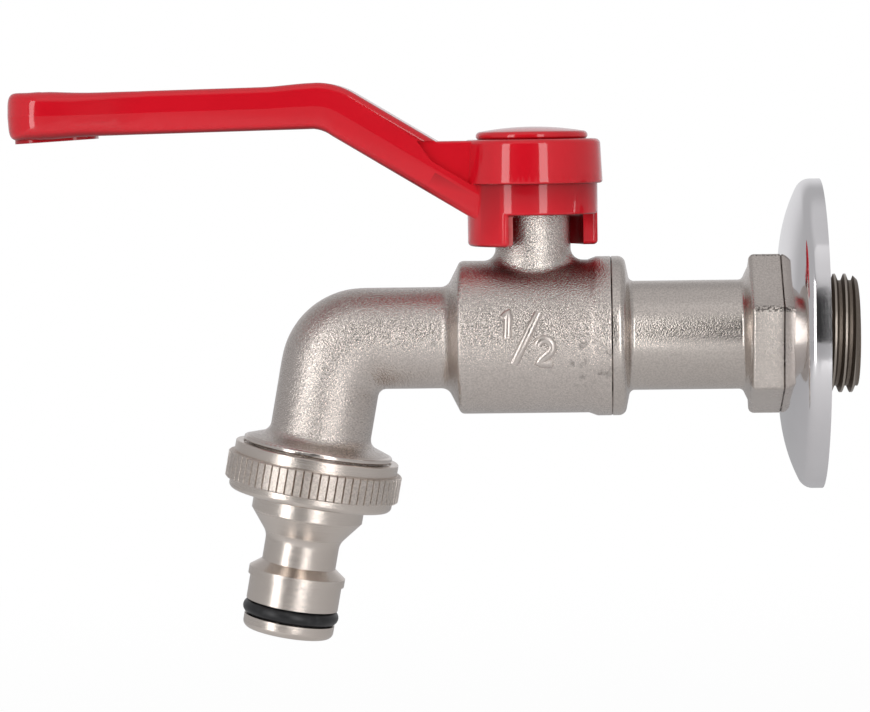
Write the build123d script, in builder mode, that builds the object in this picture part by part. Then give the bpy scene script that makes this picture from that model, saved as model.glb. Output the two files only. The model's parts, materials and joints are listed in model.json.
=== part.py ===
from build123d import *
import math
import os

os.makedirs("parts", exist_ok=True)

# Garden ball valve: a bib tap with a wall rosette, a lever and a hose adapter, in millimetres.
# The origin is on the inlet's axis in the plane of the wall. +X goes into the wall, +Z is up along
# the stem, and the lever and the spout reach out along -X. The lever lies along the pipe: open.

# Clearances
thread_clearance = 0.05  # between the plain cylinders that stand for mating threads
seat_clearance = 0.05  # a seat in its bore, and the ball in its seats
running_clearance = 0.05  # the stem in its bore, and against its thrust washer
slip_clearance = 0.1  # pieces that are slid over or into each other
ring_clearance = 0.025  # a seal ring on the floor of its groove
rosette_clearance = 0.17  # the rosette's hole over the inlet thread

# Inlet tailpiece
inlet_thread_d = 20.955  # half-inch pipe thread
inlet_thread_length = 10.4
inlet_bore_d = 14.0
thread_lead_in = 1.0  # chamfer at the end of a male thread
inlet_relief_depth = 1.28
inlet_relief_length = 2.0
hex_across_flats = 25.0
hex_length = 5.7
hex_turn = 21.8  # degrees
hex_edge_r = 1.0
hex_corner_r = 0.8
hex_back_edge = 0.2
hex_foot_step = 0.5  # below the hexagon's flats
hex_foot_length = 1.1
tail_pipe_d = 19.3
tail_length = 29.8  # flange face to hexagon face
tail_root_r = 1.0
flange_d = 28.2
flange_length = 2.3
flange_edge_r = 1.4
flange_draft_length = 0.9
seam_edge = 0.15  # on both sides of the seam between flange and body
spigot_d = 24.0
spigot_length = 4.4

# Wall rosette
rosette_d = 54.6
rosette_depth = 7.0
rosette_sheet = 0.9
rosette_flat_d = 26.0
rosette_rim = 3.22
rosette_edge_r = 2.5

# Ball, seats and stem
ball_d = 19.0
ball_bore_d = 11.0
seat_rim = 0.7  # outside the ball
seat_hole_d = 11.5
seat_face = 5.3  # from the ball's centre
seat_back = 9.3  # from the ball's centre
tang_width = 9.0
tang_thickness = 4.0
tang_foot_z = 6.7
tang_play = 0.2  # below the tang
stem_d = 8.0
stem_shoulder_d = 11.0
stem_shoulder_gap = 0.2  # above the seats
stem_shoulder_length = 1.4
thrust_washer_thickness = 0.8
ring_section_d = 1.75
ring_groove_depth = 1.8
ring_groove_length = 1.95
lower_ring_z = 14.6
upper_ring_z = 17.6
drive_across_flats = 6.0
drive_length = 3.8

# Valve body
housing_d = 27.1
housing_end_wall = 3.7
housing_edge_r = 1.0
shoulder_length = 2.3
shoulder_root_r = 2.0
bead_length = 2.6
bead_flare_length = 1.5
pipe_d = 18.0
waterway_d = 11.5
neck_d = 13.3
neck_top_z = 23.0
neck_root_r = 2.1
neck_edge = 0.4
stop_setback = 0.25  # inside the legs' outside
stop_root = 2.0  # how far the stop reaches into the neck
stop_top_gap = 0.8  # below the lever's skirt
stop_play = 0.5  # degrees, to either leg

# Elbow and spout, measured from the crossing of the two pipe axes
elbow_reach = 35.1  # stem to crossing
spout_tilt = 10.5  # degrees from plumb
elbow_inner_r = 1.6
elbow_outer_r = 14.9
elbow_lead = 2.4  # straight pipe at either end of the bend
elbow_steps = 8
flare_root = 17.85
flare_root_r = 2.0
lip_start = 19.4
lip_d = 26.6
lip_length = 0.8
lip_edge_r = 0.25
outlet_thread_d = 26.44  # three-quarter-inch pipe thread
outlet_relief_depth = 1.22
outlet_relief_length = 0.6
outlet_end = 25.5

# Hose adapter, as lengths one after the other from its rim
adapter_rim_gap = 0.2  # below the spout's lip
rim_wall = 1.38
rim_length = 2.0
rim_edge = 0.15
knurl_rise = 0.95
knurl_length = 4.8
knurl_edge = 0.25
knurl_teeth = 66
knurl_depth = 0.4
knurl_groove_width = 0.5
skirt_length = 1.85
skirt_edge_r = 0.9
shank_d = 19.9
shank_length = 2.85
shank_cone_length = 4.2
hose_neck_d = 13.25
hose_neck_length = 4.7
hose_neck_root_r = 3.0
catch_cone_length = 1.5
catch_d = 17.3
catch_length = 1.4
land_d = 16.5
land_length = 4.45
seal_groove_d = 12.1
seal_groove_length = 2.75
seal_section_d = 2.55
nipple_tip_d = 16.3
nipple_tip_length = 2.45
nipple_tip_edge_r = 1.2
nipple_bore_d = 9.0
gasket_play = 0.22
gasket_hole_d = 12.0
gasket_thickness = 1.5

# Lever
hub_top_z = 34.95
hub_draft = 0.4  # each side, from the step to the top
hub_step_z = 27.1
hub_step = 0.95  # outside the skirt and legs
hub_edge_r = 1.0
hub_step_edge_r = 0.5
skirt_z = 21.7
leg_z = 16.2
leg_d = 23.0
leg_wall = 2.55
leg_sweep = 68.0  # degrees
leg_edge_r = 0.8
leg_root_r = 0.6
floor_z = 23.8
floor_thickness = 4.2
recess_wall = 3.4
arm_rise = 31.2  # degrees
arm_droop = 1.0  # degrees
arm_bend_x = -35.26  # from the stem's axis
arm_bend_z = 41.13
arm_bend_r = 10.0
arm_crown = 0.45  # the bend stands this much proud on top
arm_crown_run = 9.0  # from the bend to where the crown has died away
arm_slope_thickness = 8.4
arm_grip_thickness = 7.63
arm_width = 14.0
arm_side_draft = 0.7  # each side, from the ridge to an edge
arm_edge_r = 1.4
arm_ridge_r = 0.8
arm_root = 36.0  # from the bend down to inside the hub
arm_steps = 5  # sections along each curved stretch of the arm
web_width = 11.2
web_drop = 0.15  # below the hub's top
web_bite = 1.0  # how far the web reaches into the arm
web_edge_r = 0.5
pocket_run = 21.8  # from the bend to the pockets beside the web
pocket_rise = 0.5  # above the arm's ridge
pocket_root_r = 0.7
tip_reach = 92.5  # from the stem's axis
tip_width = 19.0
tip_swell = 0.7  # thicker than the grip
tip_flare_length = 18.0
tip_corner_r = 7.0
tip_edge_r = 2.0
tip_round_r = 2.4
tip_lip_drop = 0.65
tip_lip_setback = 1.2
tip_lip_angle = 3.15  # degrees
tip_lip_length = 14.3
tip_lip_width = 15.0
tip_lip_end_width = 10.0
tip_lip_end_r = 4.5

# Lever screw, its washer and the cap
screw_d = 4.0
screw_depth = 7.0  # below the drive's end
screw_bottom_play = 0.6
screw_head_d = 7.0
screw_head_length = 2.6
screw_socket_across_flats = 2.5
screw_socket_depth = 1.5
lever_washer_d = 10.0
lever_washer_thickness = 1.0
cap_margin = 2.17  # inside the hub's top
cap_foot_step = 0.33
cap_foot_rise = 0.4
cap_rise = 2.18
cap_edge_r = 0.8
cap_crown_r = 52.0
cap_plug_length = 2.05
cap_wall = 1.2

# Diameters and heights that follow from their neighbours
inlet_relief_d = inlet_thread_d - 2 * inlet_relief_depth
hex_foot_d = hex_across_flats - 2 * hex_foot_step
seat_d = ball_d + 2 * seat_rim
stem_shoulder_z = seat_d / 2 + stem_shoulder_gap
thrust_washer_d = stem_shoulder_d + 2 * slip_clearance
outlet_relief_d = outlet_thread_d - 2 * outlet_relief_depth
socket_d = outlet_thread_d + 2 * thread_clearance
rim_d = socket_d + 2 * rim_wall
knurl_d = rim_d + 2 * knurl_rise
gasket_d = outlet_thread_d - 2 * gasket_play
leg_inside_d = leg_d - 2 * leg_wall
hub_step_d = leg_d + 2 * hub_step
hub_top_d = hub_step_d - 2 * hub_draft
recess_d = hub_top_d - 2 * recess_wall
cap_d = hub_top_d - 2 * cap_margin
cap_foot_d = cap_d - 2 * cap_foot_step

# Places along the inlet's axis
hex_face_x = -rosette_depth
hex_start_x = hex_face_x - hex_length
inlet_thread_x = hex_face_x + inlet_relief_length
inlet_end_x = inlet_thread_x + inlet_thread_length + thread_lead_in
seam_x = hex_face_x - tail_length
spigot_x = seam_x - spigot_length
stem_x = spigot_x - seat_back
chamber_x = stem_x - seat_back
housing_x = chamber_x - housing_end_wall
crossing_x = stem_x - elbow_reach

# The bend turns about a pivot that lies equally far from both pipe axes
pipe_r = pipe_d / 2
bend = 90 - spout_tilt
half_corner = math.radians(180 - bend) / 2
pivot_offset = pipe_r + elbow_inner_r
pivot_reach = pivot_offset / math.tan(half_corner)
pivot = Vector(crossing_x + pivot_reach, 0, -pivot_offset)
outer_offset = elbow_outer_r - pipe_r
outer_shift = (pivot_offset - outer_offset) / math.sin(half_corner)
outer_start = math.degrees(
    math.atan((pivot_reach - outer_offset / math.tan(half_corner)) / (pipe_r + pivot_offset))
)

# Planes and axes that the turned pieces share
pipe_direction = Vector(-1, 0, 0)
spout_direction = Vector(-math.sin(math.radians(spout_tilt)), 0, -math.cos(math.radians(spout_tilt)))
spout_plane = Plane(origin=(crossing_x, 0, 0), x_dir=spout_direction, z_dir=(0, 1, 0))
spout_axis = Axis((crossing_x, 0, 0), spout_direction)
stem_plane = Plane(origin=(stem_x, 0, 0), x_dir=(1, 0, 0), z_dir=(0, -1, 0))
stem_axis = Axis((stem_x, 0, 0), (0, 0, 1))


def across_stem(z):
    """The level plane at height z, centred on the stem's axis."""
    return Plane(origin=(stem_x, 0, z))


def across_pipe(centre, along):
    """The plane across a pipe at a point on its axis, its first axis towards the outside of the bend."""
    return Plane(origin=centre, x_dir=Vector(0, 1, 0).cross(along), z_dir=along)


def across_spout(run):
    """The plane across the spout at a distance from the crossing of the two pipe axes."""
    return across_pipe(spout_axis.position + spout_direction * run, spout_direction)


def outline(*corners):
    """A face in the sketch around it, from corners given as (x, y) or (x, y, rounding)."""
    with BuildLine() as border:
        FilletPolyline(
            [corner[:2] for corner in corners],
            radius=[corner[2] if len(corner) == 3 else 0 for corner in corners],
            close=True,
        )
    make_face(border.edges())


def elbow_outside(turn):
    """The distance from the pivot to the elbow's outside, turn degrees round the bend."""
    from_end = min(turn, bend - turn)
    if from_end < outer_start:
        return (pipe_r + pivot_offset) / math.cos(math.radians(from_end))
    off_middle = math.radians(turn - bend / 2)
    return outer_shift * math.cos(off_middle) + math.sqrt(
        elbow_outer_r**2 - (outer_shift * math.sin(off_middle)) ** 2
    )


def sector(inner_r, outer_r, start, sweep):
    """A piece of a ring in the sketch around it, centred on its origin, angles in degrees."""
    with BuildLine() as border:
        inside = CenterArc((0, 0), inner_r, start, sweep)
        outside = CenterArc((0, 0), outer_r, start, sweep)
        Line(inside @ 0, outside @ 0)
        Line(inside @ 1, outside @ 1)
    make_face(border.edges())


def finish(piece, name):
    """Label a finished piece and write it."""
    piece.part.label = name
    export_step(piece.part, f"parts/{name}.step")


# Valve body: housing, elbow and spout forged in one, then bored
stop_top_z = skirt_z - stop_top_gap
washer_top_z = stem_shoulder_z + stem_shoulder_length + running_clearance + thrust_washer_thickness
washer_bore_d = thrust_washer_d + 2 * slip_clearance
stem_bore_d = stem_d + 2 * running_clearance
chamber_d = seat_d + 2 * seat_clearance
elbow_end = pivot_reach + elbow_lead

with BuildPart() as valve_body:
    with BuildSketch(Plane.XZ):
        outline(
            (crossing_x + elbow_end, 0),
            (crossing_x + elbow_end, pipe_r),
            (housing_x - shoulder_length, pipe_r, shoulder_root_r),
            (housing_x, housing_d / 2, housing_edge_r),
            (seam_x - bead_length - bead_flare_length, housing_d / 2),
            (seam_x - bead_length, flange_d / 2),
            (seam_x - seam_edge, flange_d / 2),
            (seam_x, flange_d / 2 - seam_edge),
            (seam_x, 0),
        )
    revolve(axis=Axis.X)

    # The elbow's sections fan out from the pivot, with straight pipe before and after
    for lead in (elbow_lead, elbow_lead / 2):
        with BuildSketch(across_pipe((crossing_x + pivot_reach + lead, 0, 0), pipe_direction)):
            Circle(pipe_r)
    for step in range(elbow_steps + 1):
        turn = bend * step / elbow_steps
        out = Vector(-math.sin(math.radians(turn)), 0, math.cos(math.radians(turn)))
        along = Vector(-math.cos(math.radians(turn)), 0, -math.sin(math.radians(turn)))
        half_height = (elbow_outside(turn) - elbow_inner_r) / 2
        with BuildSketch(across_pipe(pivot + out * (elbow_inner_r + half_height), along)):
            Ellipse(max(half_height, pipe_r), pipe_r)
    for lead in (elbow_lead / 2, elbow_lead):
        with BuildSketch(across_spout(pivot_reach + lead)):
            Circle(pipe_r)
    loft()

    with BuildSketch(spout_plane):
        outline(
            (elbow_end, 0),
            (elbow_end, pipe_r),
            (flare_root, pipe_r, flare_root_r),
            (lip_start, lip_d / 2, lip_edge_r),
            (lip_start + lip_length, lip_d / 2, lip_edge_r),
            (lip_start + lip_length, outlet_relief_d / 2),
            (lip_start + lip_length + outlet_relief_length, outlet_relief_d / 2),
            (lip_start + lip_length + outlet_relief_length, outlet_thread_d / 2),
            (outlet_end - thread_lead_in, outlet_thread_d / 2),
            (outlet_end, outlet_thread_d / 2 - thread_lead_in),
            (outlet_end, 0),
        )
    revolve(axis=spout_axis)

    with BuildSketch(across_stem(0)):
        Circle(neck_d / 2)
    extrude(amount=neck_top_z)
    fillet(valve_body.edges(Select.NEW), neck_root_r)
    chamfer(valve_body.edges().group_by(Axis.Z)[-1], neck_edge)

    # The stop stands on the far side, between the lever's two legs
    with BuildSketch(across_stem(0)):
        sector(
            neck_d / 2 - stop_root,
            leg_d / 2 - stop_setback,
            leg_sweep + stop_play,
            90 - leg_sweep - 2 * stop_play,
        )
    extrude(amount=stop_top_z)

    with BuildSketch(Plane.XZ):
        outline(
            (seam_x, 0),
            (seam_x, spigot_d / 2 + thread_clearance),
            (spigot_x, spigot_d / 2 + thread_clearance),
            (spigot_x, chamber_d / 2),
            (chamber_x, chamber_d / 2),
            (chamber_x, waterway_d / 2),
            (crossing_x, waterway_d / 2),
            (crossing_x, 0),
        )
    revolve(axis=Axis.X, mode=Mode.SUBTRACT)
    with BuildSketch(spout_plane):
        outline((0, 0), (0, waterway_d / 2), (outlet_end, waterway_d / 2), (outlet_end, 0))
    revolve(axis=spout_axis, mode=Mode.SUBTRACT)
    with BuildSketch(stem_plane):
        outline(
            (0, 0),
            (washer_bore_d / 2, 0),
            (washer_bore_d / 2, washer_top_z),
            (stem_bore_d / 2, washer_top_z),
            (stem_bore_d / 2, neck_top_z),
            (0, neck_top_z),
        )
    revolve(axis=stem_axis, mode=Mode.SUBTRACT)
finish(valve_body, "valve_body")

# Inlet tailpiece: screwed into the body, with the hexagon for the wrench
with BuildPart() as inlet_tailpiece:
    with BuildSketch(Plane(origin=(hex_face_x, 0, 0), x_dir=(0, -1, 0), z_dir=(-1, 0, 0))) as hexagon:
        RegularPolygon(hex_across_flats / 2, 6, major_radius=False, rotation=hex_turn)
        fillet(hexagon.vertices(), hex_corner_r)
    extrude(amount=hex_length)
    fillet(inlet_tailpiece.edges().group_by(Axis.X)[0], hex_edge_r)
    chamfer(inlet_tailpiece.edges().group_by(Axis.X)[-1], hex_back_edge)
    with BuildSketch(Plane.XZ):
        outline(
            (spigot_x, 0),
            (spigot_x, spigot_d / 2 - thread_lead_in),
            (spigot_x + thread_lead_in, spigot_d / 2),
            (seam_x, spigot_d / 2),
            (seam_x, flange_d / 2 - seam_edge),
            (seam_x + seam_edge, flange_d / 2),
            (seam_x + flange_length, flange_d / 2, flange_edge_r),
            (seam_x + flange_length + flange_draft_length, tail_pipe_d / 2, tail_root_r),
            (hex_start_x - hex_foot_length, tail_pipe_d / 2, tail_root_r),
            (hex_start_x, hex_foot_d / 2),
            (hex_face_x, hex_foot_d / 2),
            (hex_face_x, inlet_relief_d / 2),
            (inlet_thread_x, inlet_relief_d / 2),
            (inlet_thread_x, inlet_thread_d / 2),
            (inlet_thread_x + inlet_thread_length, inlet_thread_d / 2),
            (inlet_end_x, inlet_thread_d / 2 - thread_lead_in),
            (inlet_end_x, 0),
        )
    revolve(axis=Axis.X)
    with BuildSketch(Plane.XZ):
        outline(
            (spigot_x, 0),
            (spigot_x, waterway_d / 2),
            (seam_x, waterway_d / 2),
            (seam_x + (inlet_bore_d - waterway_d) / 2, inlet_bore_d / 2),
            (inlet_end_x, inlet_bore_d / 2),
            (inlet_end_x, 0),
        )
    revolve(axis=Axis.X, mode=Mode.SUBTRACT)
finish(inlet_tailpiece, "inlet_tailpiece")

# Wall rosette: pressed from one sheet, resting against the hexagon
rosette_hole_d = inlet_thread_d + 2 * rosette_clearance

with BuildPart() as wall_rosette:
    with BuildSketch(Plane.XZ) as sheet:
        with BuildLine():
            rest = Line((hex_face_x, rosette_hole_d / 2), (hex_face_x, rosette_flat_d / 2))
            dome = TangentArc(rest @ 1, (-rosette_rim, rosette_d / 2), tangent=rest % 1)
            Line(dome @ 1, (0, rosette_d / 2))
            offset(amount=rosette_sheet, side=Side.RIGHT)
        make_face()
        outer_corner, inner_corner = sheet.vertices().sort_by_distance(dome @ 1)[:2]
        fillet(outer_corner, rosette_edge_r)
        fillet(inner_corner, rosette_edge_r - rosette_sheet)
    revolve(axis=Axis.X)
finish(wall_rosette, "wall_rosette")

# Ball: bored along the pipe, with a slot across the bore for the stem's tang
with BuildPart() as ball:
    with Locations((stem_x, 0, 0)):
        Sphere(ball_d / 2)
    with BuildSketch(Plane(origin=(stem_x, 0, 0), x_dir=(0, 1, 0), z_dir=(1, 0, 0))):
        Circle(ball_bore_d / 2)
    extrude(amount=ball_d, both=True, mode=Mode.SUBTRACT)
    with BuildSketch(across_stem(tang_foot_z - tang_play)):
        Rectangle(tang_thickness + 2 * slip_clearance, ball_d)
    extrude(amount=ball_d, mode=Mode.SUBTRACT)
finish(ball, "ball")

# Seats: two rings, hollowed to the ball
hollow_r = ball_d / 2 + seat_clearance
hollow_face_r = math.sqrt(hollow_r**2 - seat_face**2)
hollow_floor = math.sqrt(hollow_r**2 - (seat_hole_d / 2) ** 2)

for name, facing in (("outlet_seat", (-1, 0, 0)), ("inlet_seat", (1, 0, 0))):
    with BuildPart() as seat:
        with BuildSketch(Plane(origin=(stem_x, 0, 0), x_dir=facing, z_dir=(0, -1, 0))):
            with BuildLine():
                Polyline(
                    (seat_face, hollow_face_r),
                    (seat_face, seat_d / 2),
                    (seat_back, seat_d / 2),
                    (seat_back, seat_hole_d / 2),
                    (hollow_floor, seat_hole_d / 2),
                )
                CenterArc(
                    (0, 0),
                    hollow_r,
                    math.degrees(math.atan2(seat_hole_d / 2, hollow_floor)),
                    math.degrees(
                        math.atan2(hollow_face_r, seat_face) - math.atan2(seat_hole_d / 2, hollow_floor)
                    ),
                )
            make_face()
        revolve(axis=Axis.X)
    finish(seat, name)

# Stem: tang, shoulder, two ring grooves and the lever's drive
shoulder_top_z = stem_shoulder_z + stem_shoulder_length
drive_top_z = floor_z + drive_length
groove_r = stem_d / 2 - ring_groove_depth
screw_hole_z = drive_top_z - screw_depth
stem_corners = [
    (0, stem_shoulder_z),
    (stem_shoulder_d / 2, stem_shoulder_z),
    (stem_shoulder_d / 2, shoulder_top_z),
    (stem_d / 2, shoulder_top_z),
]
for ring_z in (lower_ring_z, upper_ring_z):
    stem_corners += [
        (stem_d / 2, ring_z - ring_groove_length / 2),
        (groove_r, ring_z - ring_groove_length / 2),
        (groove_r, ring_z + ring_groove_length / 2),
        (stem_d / 2, ring_z + ring_groove_length / 2),
    ]
stem_corners += [(stem_d / 2, floor_z), (0, floor_z)]

with BuildPart() as stem:
    with BuildSketch(stem_plane):
        outline(*stem_corners)
    revolve(axis=stem_axis)
    with BuildSketch(across_stem(tang_foot_z)):
        Rectangle(tang_thickness, tang_width)
    extrude(amount=stem_shoulder_z - tang_foot_z)
    with BuildSketch(across_stem(floor_z)):
        Circle(stem_d / 2)
        Rectangle(stem_d, drive_across_flats, mode=Mode.INTERSECT)
    extrude(amount=drive_length)
    with BuildSketch(across_stem(screw_hole_z)):
        Circle(screw_d / 2 + thread_clearance)
    extrude(amount=screw_depth, mode=Mode.SUBTRACT)
finish(stem, "stem")

with BuildPart() as stem_thrust_washer:
    with BuildSketch(across_stem(shoulder_top_z + running_clearance)):
        Circle(thrust_washer_d / 2)
        Circle(stem_d / 2 + slip_clearance, mode=Mode.SUBTRACT)
    extrude(amount=thrust_washer_thickness)
finish(stem_thrust_washer, "stem_thrust_washer")

for name, ring_z in (("stem_lower_oring", lower_ring_z), ("stem_upper_oring", upper_ring_z)):
    with BuildPart() as stem_ring:
        with Locations((stem_x, 0, ring_z)):
            Torus(groove_r + ring_clearance + ring_section_d / 2, ring_section_d / 2)
    finish(stem_ring, name)

# Lever: the arm is a row of drafted sections up the slope, round the bend and out to the tip
slope = math.radians(arm_rise)
droop = math.radians(arm_droop)
bend_point = Vector(stem_x + arm_bend_x, 0, arm_bend_z)
up_slope = Vector(-math.cos(slope), 0, math.sin(slope))
to_tip = Vector(-math.cos(droop), 0, -math.sin(droop))
above_grip = Vector(-math.sin(droop), 0, math.cos(droop))
half_bend = (slope + droop) / 2
bend_run = arm_bend_r * math.tan(half_bend)
bend_centre = bend_point + (to_tip - up_slope).normalized() * (arm_bend_r / math.cos(half_bend))
nose_start = (tip_reach + arm_bend_x) / math.cos(droop) - tip_corner_r
tip_z = arm_bend_z - (tip_reach + arm_bend_x) * math.tan(droop)


def arm_plane(centre, direction):
    """The plane of one section of the arm, with its second axis upwards."""
    return Plane(origin=centre, x_dir=(0, -1, 0), z_dir=direction)


def arm_section(width, thickness, edge_r):
    """One section of the arm: both sides lean in from a ridge at mid height."""
    edge = width / 2 - arm_side_draft
    outline(
        (edge, thickness / 2, edge_r),
        (width / 2, 0, arm_ridge_r),
        (edge, -thickness / 2, edge_r),
        (-edge, -thickness / 2, edge_r),
        (-width / 2, 0, arm_ridge_r),
        (-edge, thickness / 2, edge_r),
    )


def eased(share, first, last):
    """A size that changes smoothly from first to last as share goes from 0 to 1."""
    return first + (last - first) * share**2 * (3 - 2 * share)


flare_start = nose_start - tip_flare_length
crown_end = bend_run + arm_crown_run
shares = [step / arm_steps for step in range(arm_steps + 1)]

# The web's level top runs out where it meets the top of the slope
half_slope = arm_slope_thickness / 2
web_top_z = hub_top_z - web_drop
web_run = (arm_bend_z + half_slope * math.cos(slope) - web_top_z) / math.sin(slope)
web_end_x = bend_point.X + web_run * math.cos(slope) + half_slope * math.sin(slope)
lip_slope = math.radians(tip_lip_angle)
lip_direction = Vector(-math.cos(lip_slope), 0, -math.sin(lip_slope))
lip_up = Vector(-math.sin(lip_slope), 0, math.cos(lip_slope))
tip_thickness = arm_grip_thickness + tip_swell
lip_end = Vector(stem_x - tip_reach + tip_lip_setback, 0, tip_z - tip_thickness / 2 - tip_lip_drop)
recess_z = floor_z + floor_thickness

with BuildPart() as lever:
    with BuildSketch(arm_plane(bend_point - up_slope * arm_root, up_slope)):
        arm_section(arm_width, arm_slope_thickness, arm_edge_r)
    extrude(amount=arm_root - bend_run)
    for share in shares:
        rise = slope - 2 * half_bend * share
        proud = arm_crown * math.sin(math.pi / 2 * share)
        out = Vector(math.sin(rise), 0, math.cos(rise))
        along = Vector(-math.cos(rise), 0, math.sin(rise))
        thickness = arm_slope_thickness + (arm_grip_thickness - arm_slope_thickness) * share
        with BuildSketch(arm_plane(bend_centre + out * (arm_bend_r + proud / 2), along)):
            arm_section(arm_width, thickness + proud, arm_edge_r)
    loft()
    for share in shares:
        proud = eased(share, arm_crown, 0)
        run = bend_run + arm_crown_run * share
        with BuildSketch(arm_plane(bend_point + to_tip * run + above_grip * (proud / 2), to_tip)):
            arm_section(arm_width, arm_grip_thickness + proud, arm_edge_r)
    loft()
    with BuildSketch(arm_plane(bend_point + to_tip * crown_end, to_tip)):
        arm_section(arm_width, arm_grip_thickness, arm_edge_r)
    extrude(amount=flare_start - crown_end)
    for share in shares:
        width = eased(share, arm_width, tip_width)
        thickness = eased(max(2 * share - 1, 0), arm_grip_thickness, tip_thickness)
        with BuildSketch(arm_plane(bend_point + to_tip * (flare_start + tip_flare_length * share), to_tip)):
            arm_section(width, thickness, eased(share, arm_edge_r, tip_round_r))
    loft()
    for share in shares:
        run = tip_corner_r * math.sin(math.pi / 2 * share)
        into_edge = max(run - tip_corner_r + tip_edge_r, 0)
        corner_drop = tip_corner_r - math.sqrt(tip_corner_r**2 - run**2)
        edge_drop = tip_edge_r - math.sqrt(tip_edge_r**2 - into_edge**2)
        with BuildSketch(arm_plane(bend_point + to_tip * (nose_start + run), to_tip)):
            arm_section(
                tip_width - 2 * corner_drop,
                tip_thickness - 2 * edge_drop,
                eased(share, tip_round_r, arm_edge_r),
            )
    loft()

    # A finger lip under the tip
    with BuildSketch(Plane(origin=lip_end, x_dir=lip_direction, z_dir=lip_up)):
        outline(
            (0, tip_lip_width / 2, tip_lip_end_r),
            (0, -tip_lip_width / 2, tip_lip_end_r),
            (-tip_lip_length, -tip_lip_end_width / 2, tip_lip_end_r),
            (-tip_lip_length, tip_lip_end_width / 2, tip_lip_end_r),
        )
    extrude(amount=tip_lip_drop + tip_thickness / 2)

    # Beside the web the arm is cut back above its ridge
    with BuildSketch(arm_plane(bend_point - up_slope * pocket_run, -up_slope)) as pockets:
        with Locations((0, pocket_rise)):
            Rectangle(2 * arm_width, arm_slope_thickness, align=(Align.CENTER, Align.MIN))
            Rectangle(web_width, arm_slope_thickness, align=(Align.CENTER, Align.MIN), mode=Mode.SUBTRACT)
        fillet(pockets.vertices().sort_by_distance((0, pocket_rise))[:2], pocket_root_r)
    extrude(amount=arm_root - pocket_run, mode=Mode.SUBTRACT)

    # The web between the arm and the hub
    with BuildSketch(Plane.XZ):
        outline(
            (stem_x, web_top_z),
            (web_end_x - web_bite, web_top_z),
            (stem_x - hub_step_d / 2, floor_z),
            (stem_x, floor_z),
        )
    extrude(amount=web_width / 2, both=True)
    fillet(lever.edges().filter_by(Axis.X).group_by(Axis.Z)[-1], web_edge_r)

    with BuildSketch(stem_plane):
        outline(
            (0, skirt_z),
            (leg_d / 2, skirt_z, hub_step_edge_r),
            (leg_d / 2, hub_step_z),
            (hub_step_d / 2, hub_step_z, hub_step_edge_r),
            (hub_top_d / 2, hub_top_z, hub_edge_r),
            (0, hub_top_z),
        )
    revolve(axis=stem_axis)
    with BuildSketch(across_stem(leg_z)):
        Circle(leg_d / 2)
    extrude(amount=skirt_z - leg_z, mode=Mode.SUBTRACT)
    with BuildSketch(across_stem(leg_z)) as legs:
        for leg_start in (0, 180):
            sector(leg_inside_d / 2, leg_d / 2, leg_start, leg_sweep)
        fillet(legs.vertices().group_by(lambda corner: corner.center().length)[-1], leg_edge_r)
    extrude(amount=floor_z - leg_z)
    with BuildSketch(across_stem(skirt_z)):
        Circle(leg_inside_d / 2)
    extrude(amount=floor_z - skirt_z, mode=Mode.SUBTRACT)
    fillet(lever.edges().filter_by(GeomType.LINE).group_by(Axis.Z)[0], leg_edge_r)
    skirt_lines = lever.edges().filter_by(GeomType.LINE).filter_by_position(Axis.Z, skirt_z, skirt_z)
    leg_roots = skirt_lines.sort_by(Axis.Y)
    fillet([leg_roots[0], leg_roots[-1]], leg_root_r)
    with BuildSketch(across_stem(recess_z)):
        Circle(recess_d / 2)
    extrude(amount=hub_top_z - recess_z, mode=Mode.SUBTRACT)
    with BuildSketch(across_stem(floor_z)):
        Circle(stem_d / 2 + slip_clearance)
        Rectangle(recess_d, drive_across_flats + 2 * slip_clearance, mode=Mode.INTERSECT)
    extrude(amount=floor_thickness, mode=Mode.SUBTRACT)
finish(lever, "lever")

# Lever washer, screw and cap
washer_z = recess_z
head_z = washer_z + lever_washer_thickness

with BuildPart() as lever_washer:
    with BuildSketch(across_stem(washer_z)):
        Circle(lever_washer_d / 2)
        Circle(screw_d / 2 + slip_clearance, mode=Mode.SUBTRACT)
    extrude(amount=lever_washer_thickness)
finish(lever_washer, "lever_washer")

with BuildPart() as lever_screw:
    with BuildSketch(across_stem(screw_hole_z + screw_bottom_play)):
        Circle(screw_d / 2)
    extrude(amount=head_z - screw_hole_z - screw_bottom_play)
    with BuildSketch(across_stem(head_z)):
        Circle(screw_head_d / 2)
    extrude(amount=screw_head_length)
    with BuildSketch(across_stem(head_z + screw_head_length)):
        RegularPolygon(screw_socket_across_flats / 2, 6, major_radius=False)
    extrude(amount=-screw_socket_depth, mode=Mode.SUBTRACT)
finish(lever_screw, "lever_screw")

cap_plug_r = recess_d / 2 - slip_clearance
cap_hollow_r = cap_plug_r - cap_wall


def cap_crown_z(r):
    """The height of the cap's crown at a distance from the stem's axis."""
    return hub_top_z + cap_rise - cap_crown_r + math.sqrt(cap_crown_r**2 - r**2)


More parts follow.
